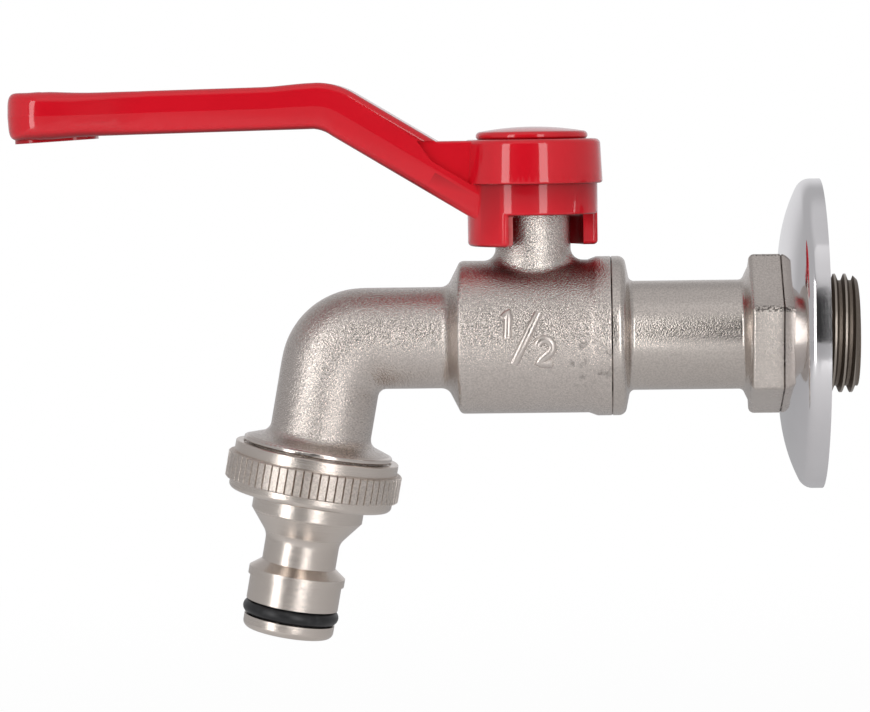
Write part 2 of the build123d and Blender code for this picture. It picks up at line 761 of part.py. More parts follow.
with BuildPart() as lever_cap:
    with BuildSketch(stem_plane) as cap_half:
        with BuildLine():
            Polyline(
                (0, cap_crown_z(0)),
                (0, cap_crown_z(cap_hollow_r) - cap_wall),
                (cap_hollow_r, cap_crown_z(cap_hollow_r) - cap_wall),
                (cap_hollow_r, hub_top_z - cap_plug_length),
                (cap_plug_r, hub_top_z - cap_plug_length),
                (cap_plug_r, hub_top_z),
                (cap_foot_d / 2, hub_top_z),
                (cap_d / 2, hub_top_z + cap_foot_rise),
                (cap_d / 2, cap_crown_z(cap_d / 2)),
            )
            cap_top = ThreePointArc(
                (cap_d / 2, cap_crown_z(cap_d / 2)),
                (cap_d / 4, cap_crown_z(cap_d / 4)),
                (0, cap_crown_z(0)),
            )
        make_face()
        fillet(cap_half.vertices().sort_by_distance(cap_top @ 0)[0], cap_edge_r)
    revolve(axis=stem_axis)
finish(lever_cap, "lever_cap")

# Hose adapter: turned in one piece about the spout's axis
socket_floor = outlet_end + gasket_thickness
rim_at = lip_start + lip_length + adapter_rim_gap
knurl_at = rim_at + rim_length
skirt_at = knurl_at + knurl_length
shank_at = skirt_at + skirt_length
cone_at = shank_at + shank_length
hose_neck_at = cone_at + shank_cone_length
catch_cone_at = hose_neck_at + hose_neck_length
catch_at = catch_cone_at + catch_cone_length
land_at = catch_at + catch_length
seal_groove_at = land_at + land_length
nipple_tip_at = seal_groove_at + seal_groove_length
nipple_end = nipple_tip_at + nipple_tip_length

with BuildPart() as hose_adapter:
    with BuildSketch(spout_plane):
        outline(
            (rim_at, socket_d / 2 + rim_edge),
            (rim_at, rim_d / 2 - rim_edge),
            (rim_at + rim_edge, rim_d / 2),
            (knurl_at, rim_d / 2),
            (knurl_at, knurl_d / 2 - knurl_edge),
            (knurl_at + knurl_edge, knurl_d / 2),
            (skirt_at - knurl_edge, knurl_d / 2),
            (skirt_at, knurl_d / 2 - knurl_edge),
            (skirt_at, rim_d / 2),
            (shank_at, rim_d / 2, skirt_edge_r),
            (shank_at, shank_d / 2),
            (cone_at, shank_d / 2),
            (hose_neck_at, hose_neck_d / 2, hose_neck_root_r),
            (catch_cone_at, hose_neck_d / 2),
            (catch_at, catch_d / 2),
            (land_at, catch_d / 2),
            (land_at, land_d / 2),
            (seal_groove_at, land_d / 2),
            (seal_groove_at, seal_groove_d / 2),
            (nipple_tip_at, seal_groove_d / 2),
            (nipple_tip_at, nipple_tip_d / 2),
            (nipple_end, nipple_tip_d / 2, nipple_tip_edge_r),
            (nipple_end, nipple_bore_d / 2),
            (socket_floor, nipple_bore_d / 2),
            (socket_floor, socket_d / 2),
            (rim_at + rim_edge, socket_d / 2),
        )
    revolve(axis=spout_axis)

    # The knurl: flat-topped teeth between narrow grooves
    with BuildSketch(across_spout(knurl_at)):
        with PolarLocations(knurl_d / 2, knurl_teeth):
            Polygon(
                (knurl_edge, knurl_groove_width / 2),
                (-knurl_depth, 0),
                (knurl_edge, -knurl_groove_width / 2),
                align=None,
            )
    extrude(amount=knurl_length, mode=Mode.SUBTRACT)
finish(hose_adapter, "hose_adapter")

with BuildPart() as adapter_gasket:
    with BuildSketch(spout_plane):
        outline(
            (outlet_end, gasket_hole_d / 2),
            (outlet_end, gasket_d / 2),
            (socket_floor, gasket_d / 2),
            (socket_floor, gasket_hole_d / 2),
        )
    revolve(axis=spout_axis)
finish(adapter_gasket, "adapter_gasket")

with BuildPart() as adapter_oring:
    with BuildSketch(spout_plane):
        with Locations(
            (
                seal_groove_at + seal_groove_length / 2,
                seal_groove_d / 2 + ring_clearance + seal_section_d / 2,
            )
        ):
            Circle(seal_section_d / 2)
    revolve(axis=spout_axis)
finish(adapter_oring, "adapter_oring")
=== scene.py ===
"""A garden ball valve on a white studio stage: satin nickel body, red lever, polished wall rosette."""
import json
import math

import bmesh
import bpy
from mathutils import Matrix, Quaternion, Vector


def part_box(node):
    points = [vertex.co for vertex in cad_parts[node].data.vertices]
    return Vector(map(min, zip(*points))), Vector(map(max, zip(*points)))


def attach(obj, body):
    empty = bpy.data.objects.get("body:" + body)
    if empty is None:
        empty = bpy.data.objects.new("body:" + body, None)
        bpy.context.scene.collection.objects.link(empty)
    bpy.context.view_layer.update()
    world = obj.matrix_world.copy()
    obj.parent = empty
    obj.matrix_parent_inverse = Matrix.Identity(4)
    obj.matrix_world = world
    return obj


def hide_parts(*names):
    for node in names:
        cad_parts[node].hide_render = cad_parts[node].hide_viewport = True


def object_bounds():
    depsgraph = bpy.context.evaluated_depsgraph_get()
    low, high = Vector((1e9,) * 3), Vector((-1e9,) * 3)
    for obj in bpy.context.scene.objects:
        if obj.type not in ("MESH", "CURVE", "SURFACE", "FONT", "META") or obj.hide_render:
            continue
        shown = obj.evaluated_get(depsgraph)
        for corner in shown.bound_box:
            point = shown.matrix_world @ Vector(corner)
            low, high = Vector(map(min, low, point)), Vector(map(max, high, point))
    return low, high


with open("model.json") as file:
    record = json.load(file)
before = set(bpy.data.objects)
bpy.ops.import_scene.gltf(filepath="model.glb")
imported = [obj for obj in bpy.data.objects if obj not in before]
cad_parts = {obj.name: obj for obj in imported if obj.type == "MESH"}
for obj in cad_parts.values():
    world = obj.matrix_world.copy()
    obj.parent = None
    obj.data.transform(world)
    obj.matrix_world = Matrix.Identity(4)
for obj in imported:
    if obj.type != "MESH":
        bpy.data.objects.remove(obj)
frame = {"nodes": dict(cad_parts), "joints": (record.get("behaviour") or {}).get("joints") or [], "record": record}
cad_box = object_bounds()

MM = 0.001
IMAGE_WIDTH = 870  # pixels

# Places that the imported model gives
record = frame["record"]
slots = {row["node"]: row["material_slot"] for row in record["subparts"]}
bodies = {node: body for body, nodes in record["behaviour"]["bodies"].items() for node in nodes}
mounts = {mount["name"]: mount for mount in record["mounts"]}
stem_axis = Vector(frame["joints"][0]["pos_m"])
spout_point = Vector(mounts["outlet_nipple"]["pos_m"])
spout_direction = Vector(mounts["outlet_nipple"]["axis"])
thread_crest = mounts["inlet_thread"]["dims"]["r_mm"] * MM
inlet_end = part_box("inlet_tailpiece")[1].x
knurl_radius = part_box("hose_adapter")[1].y
flange_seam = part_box("valve_body")[1].x
hex_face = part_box("wall_rosette")[0].x
rosette_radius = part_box("wall_rosette")[1].z

# Sizes of what is added to the solids
housing_radius = 13.55 * MM
thread_pitch = 1.814 * MM
thread_depth = 1.16 * MM
thread_crest_flat = 0.34 * MM
thread_overcut = 0.1 * MM
groove_mouth = 2.1  # widths of the thread's groove, against half the gap between two crests
groove_floor = 0.7
thread_start = -6.6 * MM
thread_zone = -6.4 * MM  # the dark thread finish starts here, behind the hexagon's face
mark_stroke_width = 2.0 * MM  # of the whole oval, most of which is sunk in the housing
mark_stroke_height = 1.0 * MM
mark_stroke_sink = 0.62 * MM
hex_corner = 14.12 * MM  # from the inlet's axis to the chipped edge of the hexagon
hex_start = -12.9 * MM
lip_edge = 12.9 * MM  # from the spout's axis to the turned edge of its lip
lip_height = -17 * MM  # the turned lip is all below this
smudge_place = Vector((-40.5, -13.0, -3.8)) * MM  # where the plate is soiled, beside the size mark
seam_shade = (0.05 * MM, 0.16 * MM)  # painted shade, dark up to here from a seam, and none from here on
weld_distance = 0.0005 * MM
seam_weld = 0.03 * MM
flat_angle = math.radians(1.0)
crease_angle = math.radians(32)

# The lever's arm where it comes down to the hub, in the solid's sizes, from the stem's axis
arm_rise = math.radians(31.2)
arm_bend = Vector((-35.26, 0, 41.13)) * MM
arm_half_width = 7.0 * MM
arm_half_thickness = 4.2 * MM
arm_side_draft = 0.7 * MM
arm_edge_radius = 1.4 * MM
web_half_width = 5.6 * MM
web_top = 34.9 * MM
# Runs down the slope from the bend, and heights over the ridge
pocket_foot = (20.3 * MM, 0.85 * MM)
pocket_head = (16.2 * MM, 2.75 * MM)
pocket_end_run = 32 * MM  # inside the hub
pocket_reach = 4 * MM  # sideways from the web, past the arm's side
filler_start_run = 21.75 * MM
filler_end_run = 35 * MM  # inside the hub
filler_root = 4.6 * MM  # from the middle plane, inside the web
filler_top = -0.45 * MM
filler_arc_steps = 8
boolean_inset = 0.005 * MM
# Cones about the stem, as a foot and a top of (height, radius): the hub's tapered side, prolonged both ways,
# and the room that the arm leaves round the legs, clear of the body's stop
hub_room = ((19.1 * MM, 12.86 * MM), (42.8 * MM, 11.66 * MM))
leg_room = ((10 * MM, 11.3 * MM), (30 * MM, 11.3 * MM))
underside_start = 0.45  # how far a point faces down where the painted underside shade begins
underside_full = 0.85

# The camera stands a little above the pipe and to the right of the lever's middle
camera_place = Vector((-42.8, -575.6, 38.0)) * MM
camera_yaw = math.radians(-2.52)
camera_pitch = math.radians(-4.096)
camera_roll = math.radians(-0.847)
camera_focal = 3253  # pixels
sensor_width = 36.0

# Studio
floor_drop = 110 * MM  # below the lowest point of the tap
floor_size = 6.0
strip_distance = 0.62
strip_width = 0.15
strip_height = 0.95
strip_glow = 4.2
left_strip_turn = math.radians(-42)
right_strip_turn = math.radians(21)
top_distance = 0.75
top_width = 0.70
top_depth = 0.45
top_glow = 0.22
top_rise = math.radians(54)
# The surround darkens round the camera in between these pairs, in radians round the tap and up
dark_left = (-0.95, -0.72)
dark_right = (0.34, 0.55)
dark_foot = (-0.45, -0.20)
dark_head = (0.45, 0.85)
dark_depth = 0.93
wall_glow = 0.46
back_wall = (0.74, 0.99)  # the share of a direction that points to the wall behind the tap
back_glow = 0.27
overhead = (0.85, 1.30)  # radians up
overhead_glow = 0.14
floor_whiteness = 0.94  # near the tap, where the shadow shows
floor_fade = (0.25, 0.9)  # metres from the origin, over which it turns plain white


class Value:
    """The value at a socket. Arithmetic on it adds Math nodes to its tree."""

    def __init__(self, finish, socket):
        self.finish = finish
        self.socket = socket

    def maths(self, operation, *values):
        return self.finish.node("ShaderNodeMath", {"operation": operation}, dict(enumerate(values)))

    def __add__(self, other):
        return self.maths("ADD", self, other)

    def __radd__(self, other):
        return self.maths("ADD", other, self)

    def __sub__(self, other):
        return self.maths("SUBTRACT", self, other)

    def __rsub__(self, other):
        return self.maths("SUBTRACT", other, self)

    def __mul__(self, other):
        return self.maths("MULTIPLY", self, other)

    def size(self):
        return self.maths("ABSOLUTE", self)

    def between(self, low, high):
        """0 below low, 1 above high, and a smooth step in between."""
        return self.finish.node(
            "ShaderNodeMapRange",
            {"interpolation_type": "SMOOTHSTEP"},
            {"Value": self, "From Min": low, "From Max": high},
        )


class Finish:
    """A node tree, of a material or of the world, that is put together by expressions."""

    def __init__(self, owner):
        owner.use_nodes = True
        self.owner = owner
        self.tree = owner.node_tree
        self.tree.nodes.clear()

    def node(self, kind, settings=None, sockets=None, output=0):
        """Adds a node with its settings and its sockets' values or links, and gives one output, if any."""
        made = self.tree.nodes.new(kind)
        for name, setting in (settings or {}).items():
            setattr(made, name, setting)
        for key, value in (sockets or {}).items():
            if isinstance(value, Value):
                self.tree.links.new(value.socket, made.inputs[key])
            else:
                made.inputs[key].default_value = value
        return Value(self, made.outputs[output]) if made.outputs else None

    def place(self):
        return self.node("ShaderNodeTexCoord", output="Object")

    def parts(self, vector):
        """The three components of a vector."""
        split = self.node("ShaderNodeSeparateXYZ", sockets={0: vector}).socket.node
        return [Value(self, socket) for socket in split.outputs]

    def vector_maths(self, operation, *values, output=0):
        return self.node("ShaderNodeVectorMath", {"operation": operation}, dict(enumerate(values)), output)

    def noise(self, place, scale, detail=2.0, roughness=0.5):
        return self.node(
            "ShaderNodeTexNoise",
            sockets={"Vector": place, "Scale": scale, "Detail": detail, "Roughness": roughness},
        )

    def streaks(self, run, scale, detail=2.0):
        """Noise along one length only."""
        return self.node(
            "ShaderNodeTexNoise",
            {"noise_dimensions": "1D"},
            {"W": run, "Scale": scale, "Detail": detail, "Roughness": 0.6},
        )

    def mix(self, share, first, second):
        """A colour between two colours."""
        return self.node("ShaderNodeMix", {"data_type": "RGBA"}, {0: share, 6: first, 7: second}, output=2)

    def bump(self, height, depth):
        sockets = {"Height": height, "Distance": depth, "Strength": 1.0}
        return self.node("ShaderNodeBump", sockets=sockets)

    def surface(self, sockets):
        """Ends the tree in one Principled surface."""
        shader = self.node("ShaderNodeBsdfPrincipled", sockets=sockets)
        self.node("ShaderNodeOutputMaterial", sockets={"Surface": shader})
        return self.owner


def new_finish(name):
    return Finish(bpy.data.materials.new(name))


def rgb(red, green, blue):
    return (red, green, blue, 1.0)


def round_axis(finish, place, point, direction):
    """How far a place lies along an axis from a point on it, and how far off the axis."""
    offset = finish.vector_maths("SUBTRACT", place, tuple(point))
    run = finish.vector_maths("DOT_PRODUCT", offset, tuple(direction), output="Value")
    on_axis = finish.node(
        "ShaderNodeVectorMath", {"operation": "SCALE"}, {0: tuple(direction), "Scale": run}
    )
    return run, finish.vector_maths("DISTANCE", offset, on_axis, output="Value")


def blasted_nickel(name, colour, shade, roughness, depth, speckle):
    """Nickel plate on shot-blasted brass: a lively grain, painted shade along the seams, a chipped hexagon."""
    finish = new_finish(name)
    place = finish.place()
    along, _, height = finish.parts(place)
    _, off_axis = round_axis(finish, place, (0, 0, 0), (1, 0, 0))
    grain = finish.noise(place, 3300, 2.0, 0.6)
    pits = finish.noise(place, 3100, 1.0)
    marks = finish.noise(place, 130, 4.0, 0.62).between(0.56, 0.74)
    clouds = finish.noise(place, 45, 3.0).between(0.30, 0.72)
    # Painted shade: the colour darkens along the seams at the flange and at the hexagon's face, broken by noise
    off_flange = (along - flange_seam).size().between(*seam_shade)
    off_hexagon = (along - hex_face).size().between(*seam_shade)
    painted_seam_shade = 2 - off_flange - off_hexagon
    _, off_spout = round_axis(finish, place, spout_point, spout_direction)
    above_lip = height.between(lip_height, lip_height + MM)
    turned = off_spout.between(lip_edge - 0.3 * MM, lip_edge) * (1 - above_lip)
    on_hexagon = along.between(hex_start - 0.1 * MM, hex_start)
    corner = off_axis.between(hex_corner - 0.04 * MM, hex_corner) * on_hexagon * height.between(0, MM)
    chips = corner * pits.between(0.48, 0.56)
    off_smudge = finish.vector_maths("DISTANCE", place, tuple(smudge_place), output="Value")
    smudge = (1 - off_smudge.between(1.5 * MM, 6.5 * MM)) * finish.noise(place, 620, 3.0).between(0.52, 0.66)
    tone = finish.mix(clouds * 0.5 + marks * 0.4, colour, shade)
    dark_pits = grain.between(0.62, 0.36) * speckle * (1 - turned)
    broken = 0.35 + finish.noise(place, 170, 2.0).between(0.40, 0.60) * 0.55
    # Pits, chips and the smudge are marks on the plate; the seams add painted shade
    dark_marks_and_painted_shade = painted_seam_shade * broken + chips * 0.7 + dark_pits + smudge * 0.4
    marked_and_shaded = finish.mix(dark_marks_and_painted_shade, tone, rgb(0.06, 0.05, 0.045))
    return finish.surface(
        {
            "Base Color": marked_and_shaded,
            "Metallic": 1.0,
            "Roughness": roughness + clouds * 0.04 + marks * 0.05 - turned * 0.06,
            "Normal": finish.bump(grain * (1 - turned * 0.9), depth),
        }
    )


def turned_nickel(name):
    """Nickel plate on turned brass: fine rings about the spout's axis, and a blasted knurl."""
    finish = new_finish(name)
    place = finish.place()
    run, off_axis = round_axis(finish, place, spout_point, spout_direction)
    rings = finish.streaks(run, 9000, 3.0)
    bands = finish.streaks(run, 900, 2.0)
    speckle = finish.noise(place, 2600, 3.0, 0.65)
    on_knurl = off_axis.between(knurl_radius - 0.9 * MM, knurl_radius - 0.8 * MM)
    groove = on_knurl * (1 - off_axis.between(knurl_radius - 0.42 * MM, knurl_radius - 0.08 * MM))
    clouds = finish.noise(place, 90, 3.0).between(0.3, 0.7)
    plate = finish.mix(clouds * 0.45 + bands * 0.15, rgb(0.75, 0.68, 0.62), rgb(0.65, 0.57, 0.51))
    # The knurl's grooves are darkened with painted shade; the speckle on the knurl is the blast's grain
    dark_marks_and_painted_shade = groove * 0.06 + on_knurl * speckle.between(0.58, 0.42) * 0.24
    tone = finish.mix(dark_marks_and_painted_shade, plate, rgb(0.16, 0.13, 0.11))
    height = rings * (1 - on_knurl) * 0.25 + speckle * on_knurl
    return finish.surface(
        {
            "Base Color": tone,
            "Metallic": 1.0,
            "Roughness": 0.20 + bands * 0.10 + on_knurl * 0.10 + groove * 0.1,
            "Normal": finish.bump(height, 0.07 * MM),
        }
    )


def polished_nickel(name):
    """Polished dome with faint buffing rings about the inlet's axis, and a brushed rim."""
    finish = new_finish(name)
    place = finish.place()
    run, off_axis = round_axis(finish, place, (0, 0, 0), (1, 0, 0))
    rings = finish.streaks(off_axis + run, 2600, 3.0)
    rim = off_axis.between(rosette_radius - 1.2 * MM, rosette_radius - 0.4 * MM)
    clouds = finish.noise(place, 60, 3.0).between(0.3, 0.7)
    return finish.surface(
        {
            "Base Color": finish.mix(clouds, rgb(0.86, 0.84, 0.85), rgb(0.80, 0.78, 0.79)),
            "Metallic": 1.0,
            "Roughness": 0.05 + rings * 0.05 + clouds * 0.02 + rim * 0.03,
            "Normal": finish.bump(rings, 0.0015 * MM),
        }
    )


def cut_thread(name):
    """The inlet thread: dull brown-grey flanks and paler, rubbed crests."""
    finish = new_finish(name)
    place = finish.place()
    run, off_axis = round_axis(finish, place, (0, 0, 0), (1, 0, 0))
    tears = finish.noise(place, 1900, 3.0, 0.65)
    crest = (off_axis + tears * 0.12 * MM).between(thread_crest - 0.10 * MM, thread_crest + 0.05 * MM)
    rings = finish.streaks(run, 8000, 2.0)
    flank = finish.mix(tears, rgb(0.30, 0.25, 0.21), rgb(0.18, 0.15, 0.125))
    return finish.surface(
        {
            "Base Color": finish.mix(crest, flank, rgb(0.44, 0.39, 0.34)),
            "Metallic": 1.0,
            "Roughness": 0.46 - crest * 0.16 + tears * 0.08,
            "Normal": finish.bump(rings * 0.5 + tears * 0.5, 0.04 * MM),
        }
    )


def red_enamel(name, colour, deep):
    """Glossy red enamel with a soft orange peel over the casting's gentle waves, with painted shade underneath:
    darker and duller.
    """
    finish = new_finish(name)
    place = finish.place()
    waves = finish.noise(place, 120, 2.0)
    peel = finish.noise(place, 620, 2.0)
    dust = finish.noise(place, 2400, 2.0).between(0.70, 0.80)
    facing_down = finish.node("ShaderNodeAttribute", {"attribute_name": "facing_down"}, output="Fac")
    # Painted shade: faces that point down take a dark red and less coat
    painted_underside_shade = facing_down * (0.75 + waves * 0.25)
    clouds = finish.noise(place, 70, 3.0).between(0.3, 0.7)
    return finish.surface(
        {
            "Base Color": finish.mix(painted_underside_shade, finish.mix(clouds, colour, deep), rgb(0.20, 0.004, 0.007)),
            "Roughness": 0.34 + dust * 0.2,
            "Specular IOR Level": 0.1,
            "Coat Weight": (0.92 + clouds * 0.08) * (1 - painted_underside_shade * 0.6),
            "Coat Roughness": 0.06,
            "Coat IOR": 1.52,
            "Normal": finish.bump(waves * 0.9 + peel * 0.1, 0.14 * MM),
        }
    )


def black_rubber(name):
    """Moulded rubber with a faint bloom."""
    finish = new_finish(name)
    place = finish.place()
    bloom = finish.noise(place, 420, 4.0, 0.6).between(0.45, 0.75)
    grain = finish.noise(place, 3000, 2.0)
    return finish.surface(
        {
            "Base Color": finish.mix(bloom, rgb(0.010, 0.010, 0.011), rgb(0.030, 0.030, 0.032)),
            "Roughness": 0.36 + bloom * 0.14,
            "Normal": finish.bump(grain, 0.012 * MM),
        }
    )


def white_seal(name):
    """Waxy white sealing plastic, turned from bar."""
    finish = new_finish(name)
    place = finish.place()
    clouds = finish.noise(place, 200, 3.0)
    rings = finish.streaks(finish.vector_maths("LENGTH", place, output="Value"), 6000, 2.0)
    return finish.surface(
        {
            "Base Color": finish.mix(clouds, rgb(0.86, 0.86, 0.84), rgb(0.76, 0.76, 0.73)),
            "Roughness": 0.42 + rings * 0.1,
            "Normal": finish.bump(rings, 0.01 * MM),
        }
    )


def plain_metal(name, bright, dull, roughness):
    """A turned inner piece: bright metal with tool marks."""
    finish = new_finish(name)
    place = finish.place()
    _, _, height = finish.parts(place)
    rings = finish.streaks(height, 7000, 3.0)
    clouds = finish.noise(place, 240, 3.0)
    return finish.surface(
        {
            "Base Color": finish.mix(clouds, bright, dull),
            "Metallic": 1.0,
            "Roughness": roughness + rings * 0.12,
            "Normal": finish.bump(rings, 0.012 * MM),
        }
    )


def link(name, data):
    piece = bpy.data.objects.new(name, data)
    bpy.context.scene.collection.objects.link(piece)
    return piece


def smooth(mesh):
    """Joins a mesh's loose faces and shades it smooth, with creases at its sharp edges."""
    work = bmesh.new()
    work.from_mesh(mesh)
    bmesh.ops.remove_doubles(work, verts=work.verts, dist=weld_distance)
    for face in work.faces:
        face.smooth = True
    for edge in work.edges:
        edge.smooth = edge.calc_face_angle(0) < crease_angle
    work.to_mesh(mesh)
    work.free()
    if "custom_normal" in mesh.attributes:
        mesh.attributes.remove(mesh.attributes["custom_normal"])


def settle(piece, body, slot, *nodes):
    """Puts a finished piece on its body, in place of the nodes that it stands for."""
    if nodes:
        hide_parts(*nodes)
    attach(piece, body)
    return piece


def dressed_mesh(node, *finishes):
    """A smooth copy of a node's mesh with its finishes."""
    mesh = frame["nodes"][node].data.copy()
    mesh.name = node + "_dressed"
    smooth(mesh)
    mesh.materials.clear()
    for finish in finishes:
        mesh.materials.append(finish)
    return mesh


def mark_underside(mesh):
    """Stores at each point how far it faces the floor, from 0 for a wall to 1, for the enamel's painted shade
    underneath.
    """
    facing_down = mesh.attributes.new("facing_down", "FLOAT", "POINT")
    span = underside_full - underside_start
    for point, value in zip(mesh.vertices, facing_down.data):
        value.value = min(max((-point.normal.z - underside_start) / span, 0), 1)


def dress(node, finish, painted=False):
    """A smooth copy of a node that stands for it. A painted one is marked for the enamel's painted shade
    underneath.
    """
    mesh = dressed_mesh(node, finish)
    if painted:
        mark_underside(mesh)
    piece = link(node + "_dressed", mesh)
    return settle(piece, bodies[node], slots[node], node)


class Growth:
    """A Geometry Nodes tree with named inputs, which ends in plain geometry of one material."""

    def __init__(self, name, inputs):
        self.tree = bpy.data.node_groups.new(name, "GeometryNodeTree")
        self.inputs = {}
        self.tree.interface.new_socket("Geometry", in_out="INPUT", socket_type="NodeSocketGeometry")
        for label, kind in inputs.items():
            made = self.tree.interface.new_socket(label, in_out="INPUT", socket_type=kind)
            self.inputs[label] = made.identifier
        self.tree.interface.new_socket("Geometry", in_out="OUTPUT", socket_type="NodeSocketGeometry")
        self.start = self.tree.nodes.new("NodeGroupInput")

    def given(self, label):
        return self.start.outputs[label]

    def node(self, kind, settings=None, sockets=None, output=0):
        made = self.tree.nodes.new(kind)
        for name, setting in (settings or {}).items():
            setattr(made, name, setting)
        for key, value in (sockets or {}).items():
            if isinstance(value, bpy.types.NodeSocket):
                self.tree.links.new(value, made.inputs[key])
            else:
                made.inputs[key].default_value = value
        return made.outputs[output]

    def maths(self, operation, *values):
        return self.node("ShaderNodeMath", {"operation": operation}, dict(enumerate(values)))

    def end(self, geometry):
        """Closes the tree with realized geometry in the given material."""
        real = self.node("GeometryNodeRealizeInstances", sockets={"Geometry": geometry})
        sockets = {"Geometry": real, "Material": self.given("Material")}
        dyed = self.node("GeometryNodeSetMaterial", sockets=sockets)
        finish = self.tree.nodes.new("NodeGroupOutput")
        self.tree.links.new(dyed, finish.inputs[0])

    def grow(self, name, data, values):
        """The plain mesh that the tree makes of an object's data with these input values."""
        seed = link(name + "_seed", data)
        modifier = seed.modifiers.new("growth", "NODES")
        modifier.node_group = self.tree
        for label, value in values.items():
            modifier[self.inputs[label]] = value
        seed.update_tag()
        depsgraph = bpy.context.evaluated_depsgraph_get()
        mesh = bpy.data.meshes.new_from_object(seed.evaluated_get(depsgraph))
        mesh.name = name
        seed.modifiers.clear()
        bpy.data.objects.remove(seed)
        return mesh


def thread_groove_growth():
    """A solid worm along a helix about X, as wide as the gap between two thread crests."""
    growth = Growth(
        "thread_groove",
        {
            "Crest Radius": "NodeSocketFloat",
            "Depth": "NodeSocketFloat",
            "Pitch": "NodeSocketFloat",
            "Crest Flat": "NodeSocketFloat",
            "Turns": "NodeSocketFloat",
            "Overcut": "NodeSocketFloat",
            "Material": "NodeSocketMaterial",
        },
    )
    height = growth.maths("MULTIPLY", growth.given("Pitch"), growth.given("Turns"))
    helix = growth.node(
        "GeometryNodeCurveSpiral",
        sockets={
            "Resolution": 64,
            "Rotations": growth.given("Turns"),
            "Start Radius": growth.given("Crest Radius"),
            "End Radius": growth.given("Crest Radius"),
            "Height": height,
        },
    )
    upright = growth.node("GeometryNodeSetCurveNormal", {"mode": "Z_UP"}, {"Curve": helix})
    half_gap = growth.maths(
        "DIVIDE", growth.maths("SUBTRACT", growth.given("Pitch"), growth.given("Crest Flat")), 2.0
    )
    # The groove goes on a little past the crests, so that it cuts cleanly
    profile = growth.node(
        "GeometryNodeCurvePrimitiveQuadrilateral",
        {"mode": "TRAPEZOID"},
        {
            "Height": growth.maths("ADD", growth.given("Depth"), growth.given("Overcut")),
            "Bottom Width": growth.maths("MULTIPLY", half_gap, groove_mouth),
            "Top Width": growth.maths("MULTIPLY", half_gap, groove_floor),
            "Offset": 0.0,
        },
    )
    inward = growth.maths(
        "DIVIDE", growth.maths("SUBTRACT", growth.given("Depth"), growth.given("Overcut")), 2.0
    )
    turned = growth.node(
        "GeometryNodeTransform",
        sockets={
            "Geometry": profile,
            "Translation": growth.node("ShaderNodeCombineXYZ", sockets={0: inward}),
            "Rotation": (0, 0, -math.pi / 2),
        },
    )
    worm = growth.node(
        "GeometryNodeCurveToMesh", sockets={"Curve": upright, "Profile Curve": turned, "Fill Caps": True}
    )
    growth.end(worm)
    return growth


def raised_stroke_growth():
    """A rounded ridge along a curve that lies on a cylinder about X."""
    growth = Growth(
        "raised_stroke",
        {
            "Width": "NodeSocketFloat",
            "Height": "NodeSocketFloat",
            "Sink": "NodeSocketFloat",
            "Material": "NodeSocketMaterial",
        },
    )
    place = growth.node("GeometryNodeInputPosition")
    outward = growth.node("ShaderNodeVectorMath", {"operation": "MULTIPLY"}, {0: place, 1: (0, 1, 1)})
    turned = growth.node(
        "GeometryNodeSetCurveNormal", {"mode": "FREE"}, {"Curve": growth.given("Geometry"), "Normal": outward}
    )
    ring = growth.node("GeometryNodeCurvePrimitiveCircle", sockets={"Resolution": 20, "Radius": 1.0})
    half_width = growth.maths("DIVIDE", growth.given("Width"), 2.0)
    scale = growth.node("ShaderNodeCombineXYZ", sockets={0: growth.given("Height"), 1: half_width, 2: 1.0})
    sunk = growth.maths("MULTIPLY", growth.given("Sink"), -1.0)
    inward = growth.node("ShaderNodeCombineXYZ", sockets={0: sunk})
    oval = growth.node(
        "GeometryNodeTransform", sockets={"Geometry": ring, "Translation": inward, "Scale": scale}
    )
    ridge = growth.node(
        "GeometryNodeCurveToMesh", sockets={"Curve": turned, "Profile Curve": oval, "Fill Caps": True}
    )
    growth.end(ridge)
    return growth


def on_housing(along, up):
    """The point of the housing's near side at a place along the pipe and a height round it."""
    angle = up / housing_radius
    return Vector((along, -housing_radius * math.cos(angle), housing_radius * math.sin(angle)))


def arc_points(centre, radius, start, end, steps):
    """Points of an arc, angles in degrees, in the sheet that is wrapped round the housing."""
    turns = [math.radians(start + (end - start) * step / steps) for step in range(steps + 1)]
    return [(centre[0] + radius * math.cos(turn), centre[1] + radius * math.sin(turn)) for turn in turns]


def divided(first, second, steps):
    """Points along a straight stroke."""
    return [
        (first[0] + (second[0] - first[0]) * step / steps, first[1] + (second[1] - first[1]) * step / steps)
        for step in range(steps + 1)
    ]


def size_mark(finish):
    """The half-inch size mark that stands in relief on the housing."""
    # Places along the pipe and up round the housing, in millimetres
    two_middle, bowl = (-48.5, -1.0), 1.3
    strokes = [
        divided((-55.6, 4.15), (-54.75, 5.15), 4) + divided((-54.75, 5.15), (-54.95, 0.65), 8)[1:],
        divided((-49.5, 5.05), (-53.9, -3.9), 20),
        arc_points(two_middle, bowl, 170, -35, 14)
        + divided((-47.5, -1.95), (-49.65, -3.85), 6)
        + divided((-49.65, -3.85), (-47.2, -4.05), 6)[1:],
    ]
    growth = raised_stroke_growth()
    joined = bmesh.new()
    for number, stroke in enumerate(strokes):
        curve = bpy.data.curves.new(f"mark_stroke_{number}", "CURVE")
        curve.dimensions = "3D"
        spline = curve.splines.new("POLY")
        spline.points.add(len(stroke) - 1)
        for point, (along, up) in zip(spline.points, stroke):
            point.co = (*on_housing(along * MM, up * MM), 1)
        values = {
            "Width": mark_stroke_width,
            "Height": mark_stroke_height,
            "Sink": mark_stroke_sink,
            "Material": finish,
        }
        joined.from_mesh(growth.grow(f"mark_ridge_{number}", curve, values))
    mesh = bpy.data.meshes.new("size_mark")
    joined.to_mesh(mesh)
    joined.free()
    mesh.materials.append(finish)
    smooth(mesh)
    return settle(link("size_mark", mesh), bodies["valve_body"], slots["valve_body"])


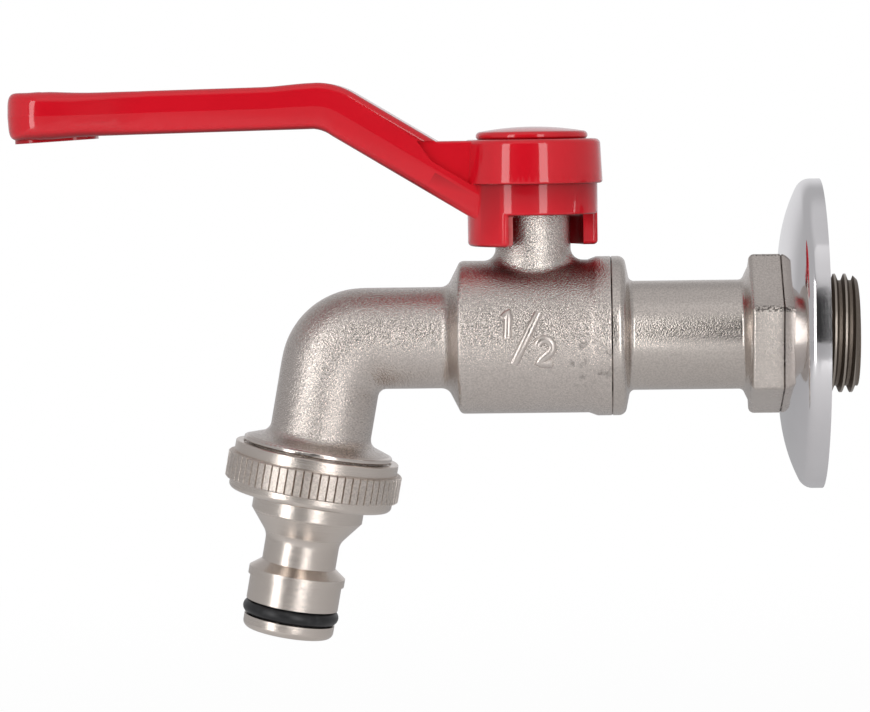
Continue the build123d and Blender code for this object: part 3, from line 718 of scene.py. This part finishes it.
def combine(piece, operation, tool):
    """Joins a tool to a piece or takes it away, and removes the tool."""
    step = piece.modifiers.new(operation.lower(), "BOOLEAN")
    step.operation = operation
    step.solver = "EXACT"
    step.object = tool
    depsgraph = bpy.context.evaluated_depsgraph_get()
    mesh = bpy.data.meshes.new_from_object(piece.evaluated_get(depsgraph))
    piece.modifiers.clear()
    piece.data = mesh
    bpy.data.objects.remove(tool)


def threaded_tailpiece(finish, thread_finish):
    """The tailpiece with its thread cut: a helical groove is taken out of the plain cylinder."""
    length = inlet_end - thread_start
    turns = math.ceil(length / thread_pitch) + 1
    values = {
        "Crest Radius": thread_crest,
        "Depth": thread_depth,
        "Pitch": thread_pitch,
        "Crest Flat": thread_crest_flat,
        "Turns": float(turns),
        "Overcut": thread_overcut,
        "Material": thread_finish,
    }
    groove_mesh = thread_groove_growth().grow("thread_groove", bpy.data.meshes.new("seed"), values)
    groove_mesh.transform(Matrix.Translation((thread_start, 0, 0)) @ Matrix.Rotation(math.pi / 2, 4, "Y"))
    piece = link("inlet_tailpiece_dressed", dressed_mesh("inlet_tailpiece", finish, thread_finish))
    combine(piece, "DIFFERENCE", link("thread_groove", groove_mesh))
    mesh = piece.data
    mesh.materials.clear()
    mesh.materials.append(finish)
    mesh.materials.append(thread_finish)
    for face in mesh.polygons:
        face.material_index = 1 if face.center.x > thread_zone else 0
    smooth(mesh)
    return settle(piece, bodies["inlet_tailpiece"], slots["inlet_tailpiece"], "inlet_tailpiece")


def closed(name, points, faces):
    """A closed mesh with its faces turned outwards."""
    mesh = bpy.data.meshes.new(name)
    mesh.from_pydata(points, [], faces)
    work = bmesh.new()
    work.from_mesh(mesh)
    bmesh.ops.recalc_face_normals(work, faces=work.faces)
    work.to_mesh(mesh)
    work.free()
    return link(name, mesh)


def prism(name, corners, sweep):
    """A flat outline swept along a vector."""
    count = len(corners)
    sides = [(i, (i + 1) % count, count + (i + 1) % count, count + i) for i in range(count)]
    ends = [tuple(range(count)), tuple(range(count, 2 * count))]
    return closed(name, [*corners, *(corner + sweep for corner in corners)], ends + sides)


def stem_cone(name, ends, steps=96):
    """A cone about the stem's axis between two ends, each a height and a radius."""
    rings = []
    for height, radius in ends:
        for step in range(steps):
            turn = 2 * math.pi * step / steps
            rings.append(stem_axis + Vector((radius * math.cos(turn), radius * math.sin(turn), height)))
    sides = [(i, (i + 1) % steps, steps + (i + 1) % steps, steps + i) for i in range(steps)]
    return closed(name, rings, [tuple(range(steps)), tuple(range(steps, 2 * steps))] + sides)


def on_slope(run, height):
    """The place on the lever's middle plane at a run down the slope and a height above the ridge."""
    down = Vector((math.cos(arm_rise), 0, -math.sin(arm_rise)))
    above = Vector((math.sin(arm_rise), 0, math.cos(arm_rise)))
    return stem_axis + arm_bend + down * run + above * height


def merge_flats(mesh):
    """Joins neighbouring faces that lie in one plane, across the joints that Booleans leave."""
    work = bmesh.new()
    work.from_mesh(mesh)
    bmesh.ops.remove_doubles(work, verts=work.verts, dist=seam_weld)
    bmesh.ops.dissolve_limit(work, angle_limit=flat_angle, verts=work.verts, edges=work.edges)
    bmesh.ops.triangulate(work, faces=[face for face in work.faces if len(face.verts) > 4])
    work.to_mesh(mesh)
    work.free()


def arm_corner():
    """Half the arm's section below its ridge, with the rounded edge, as places across and up."""
    lean = math.atan(arm_side_draft / arm_half_thickness)
    edge = arm_half_width - arm_side_draft - arm_edge_radius / math.tan(math.pi / 4 + lean / 2)
    reach = arm_edge_radius - boolean_inset
    corner = [
        (filler_root, filler_top),
        (arm_half_width + filler_top * math.tan(lean) - boolean_inset, filler_top),
    ]
    for step in range(filler_arc_steps + 1):
        turn = -lean - (math.pi / 2 - lean) * step / filler_arc_steps
        across = edge + reach * math.cos(turn)
        corner.append((across, arm_edge_radius - arm_half_thickness + reach * math.sin(turn)))
    corner.append((filler_root, boolean_inset - arm_half_thickness))
    return corner


def fitted_lever(finish):
    """The lever with a pocket on either side of its web, above the arm's ridge.

    The solid has the pockets below the ridge, so these are filled first.
    """
    piece = link("lever_dressed", dressed_mesh("lever", finish))
    foot, head = on_slope(*pocket_foot), on_slope(*pocket_head)
    inner = on_slope(pocket_end_run, pocket_foot[1])
    outline = [foot, Vector((head.x, 0, web_top)), Vector((inner.x, 0, web_top)), inner]
    filler_sweep = on_slope(filler_end_run, 0) - on_slope(filler_start_run, 0)
    for side in (-1, 1):
        section = []
        for across, height in arm_corner():
            section.append(on_slope(filler_start_run, height) + Vector((0, side * across, 0)))
        filler = prism("arm_filler", section, filler_sweep)
        combine(filler, "DIFFERENCE", stem_cone("leg_room", leg_room))
        combine(piece, "UNION", filler)
        wall = Vector((0, side * web_half_width, 0))
        outward = Vector((0, side * pocket_reach, 0))
        pocket = prism("web_pocket", [corner + wall for corner in outline], outward)
        combine(pocket, "DIFFERENCE", stem_cone("hub_room", hub_room))
        combine(piece, "DIFFERENCE", pocket)
    mesh = piece.data
    mesh.materials.clear()
    mesh.materials.append(finish)
    merge_flats(mesh)
    smooth(mesh)
    mark_underside(mesh)
    return settle(piece, bodies["lever"], slots["lever"], "lever")


def tap():
    """All the tap's pieces in their finishes."""
    warm, warm_shade = rgb(0.75, 0.68, 0.63), rgb(0.67, 0.60, 0.55)
    dull, dull_shade = rgb(0.68, 0.62, 0.57), rgb(0.60, 0.54, 0.50)
    body_nickel = blasted_nickel("blasted_nickel", warm, warm_shade, 0.19, 0.13 * MM, 0.22)
    inlet_nickel = blasted_nickel("satin_nickel", dull, dull_shade, 0.24, 0.035 * MM, 0.18)
    rubber = black_rubber("black_rubber")
    seal = white_seal("white_seal")
    zinc = plain_metal("zinc_plate", rgb(0.68, 0.68, 0.66), rgb(0.58, 0.58, 0.55), 0.24)
    dress("valve_body", body_nickel)
    size_mark(blasted_nickel("mark_nickel", warm, warm_shade, 0.29, 0.04 * MM, 0.14))
    threaded_tailpiece(inlet_nickel, cut_thread("cut_thread"))
    dress("wall_rosette", polished_nickel("polished_nickel"))
    dress("hose_adapter", turned_nickel("turned_nickel"))
    fitted_lever(red_enamel("red_enamel", rgb(0.73, 0.005, 0.017), rgb(0.69, 0.004, 0.015)))
    cap_red = red_enamel("red_cap", rgb(0.73, 0.006, 0.018), rgb(0.69, 0.005, 0.016))
    dress("lever_cap", cap_red, painted=True)
    dress("ball", plain_metal("bright_ball", rgb(0.80, 0.80, 0.80), rgb(0.74, 0.74, 0.74), 0.06))
    dress("stem", plain_metal("bare_brass", rgb(0.74, 0.55, 0.27), rgb(0.64, 0.46, 0.21), 0.20))
    for node in ("lever_screw", "lever_washer"):
        dress(node, zinc)
    for node in ("outlet_seat", "inlet_seat", "stem_thrust_washer"):
        dress(node, seal)
    for node in ("adapter_oring", "adapter_gasket", "stem_lower_oring", "stem_upper_oring"):
        dress(node, rubber)


def add_camera():
    look = Vector(
        (
            math.sin(camera_yaw) * math.cos(camera_pitch),
            math.cos(camera_yaw) * math.cos(camera_pitch),
            math.sin(camera_pitch),
        )
    )
    lens = bpy.data.cameras.new("camera")
    lens.sensor_width = sensor_width
    lens.lens = sensor_width * camera_focal / IMAGE_WIDTH
    lens.clip_start = 0.01
    camera = link("camera", lens)
    camera.location = camera_place
    camera.rotation_mode = "QUATERNION"
    camera.rotation_quaternion = Quaternion(look, -camera_roll) @ look.to_track_quat("-Z", "Y")
    bpy.context.scene.camera = camera


def add_softbox(name, turn, rise, distance, width, height, glow):
    """A soft lamp that faces the tap, turned from the camera's side and raised, in radians."""
    aim = (cad_box[0] + cad_box[1]) / 2
    out = Vector((math.sin(turn) * math.cos(rise), -math.cos(turn) * math.cos(rise), math.sin(rise)))
    lamp = bpy.data.lights.new(name, "AREA")
    lamp.shape = "RECTANGLE"
    lamp.size = width
    lamp.size_y = height
    lamp.energy = glow * math.pi * width * height
    softbox = link(name, lamp)
    softbox.location = aim + out * distance
    softbox.rotation_mode = "QUATERNION"
    softbox.rotation_quaternion = (-out).to_track_quat("-Z", "Y")


def add_surround():
    """A white studio that is dark only round the camera. The camera itself sees plain white."""
    world = bpy.data.worlds.new("studio")
    bpy.context.scene.world = world
    finish = Finish(world)
    direction = finish.node("ShaderNodeTexCoord", output="Generated")
    right, back, up = finish.parts(direction)
    turn = finish.node("ShaderNodeMath", {"operation": "ARCTAN2"}, {0: right, 1: 0 - back})
    rise = finish.node("ShaderNodeMath", {"operation": "ARCSINE"}, {0: up})
    dark_side = turn.between(*dark_left) * (1 - turn.between(*dark_right))
    dark_height = rise.between(*dark_foot) * (1 - rise.between(*dark_head))
    wall = wall_glow + back.between(*back_wall) * back_glow + rise.between(*overhead) * overhead_glow
    glow = wall * (1 - dark_side * dark_height * dark_depth)
    shade = finish.node("ShaderNodeCombineColor", sockets={0: glow, 1: glow, 2: glow * 1.02})
    studio = finish.node("ShaderNodeBackground", sockets={"Color": shade, "Strength": 1.0})
    white = finish.node("ShaderNodeBackground", sockets={"Color": rgb(1, 1, 1), "Strength": 1.0})
    seen = finish.node("ShaderNodeLightPath", output="Is Camera Ray")
    both = finish.node("ShaderNodeMixShader", sockets={0: seen, 1: studio, 2: white})
    finish.node("ShaderNodeOutputWorld", sockets={"Surface": both})


def add_floor():
    """A pale floor below the tap, which the camera sees as nearly white, with the tap's shadow."""
    finish = new_finish("pale_floor")
    rays = finish.node("ShaderNodeLightPath", output="Is Camera Ray")
    away = finish.vector_maths("LENGTH", finish.place(), output="Value").between(*floor_fade)
    pale = finish.node("ShaderNodeBsdfDiffuse", sockets={"Color": rgb(0.85, 0.85, 0.85)})
    white = finish.node("ShaderNodeEmission", sockets={"Color": rgb(1, 1, 1), "Strength": 1.0})
    whiteness = floor_whiteness + away * (1 - floor_whiteness)
    both = finish.node("ShaderNodeMixShader", sockets={0: rays * whiteness, 1: pale, 2: white})
    finish.node("ShaderNodeOutputMaterial", sockets={"Surface": both})
    half = floor_size / 2
    level = cad_box[0].z - floor_drop
    mesh = bpy.data.meshes.new("floor")
    corners = [(-half, -half, level), (half, -half, level), (half, half, level), (-half, half, level)]
    mesh.from_pydata(corners, [], [(0, 1, 2, 3)])
    mesh.materials.append(finish.owner)
    link("floor", mesh)


def stage():
    add_camera()
    add_surround()
    add_floor()
    add_softbox("left_strip", left_strip_turn, 0, strip_distance, strip_width, strip_height, strip_glow)
    add_softbox("right_strip", right_strip_turn, 0, strip_distance, strip_width, strip_height, strip_glow)
    add_softbox("top_softbox", 0, top_rise, top_distance, top_width, top_depth, top_glow)
    bpy.context.scene.view_settings.view_transform = "Standard"


tap()
stage()
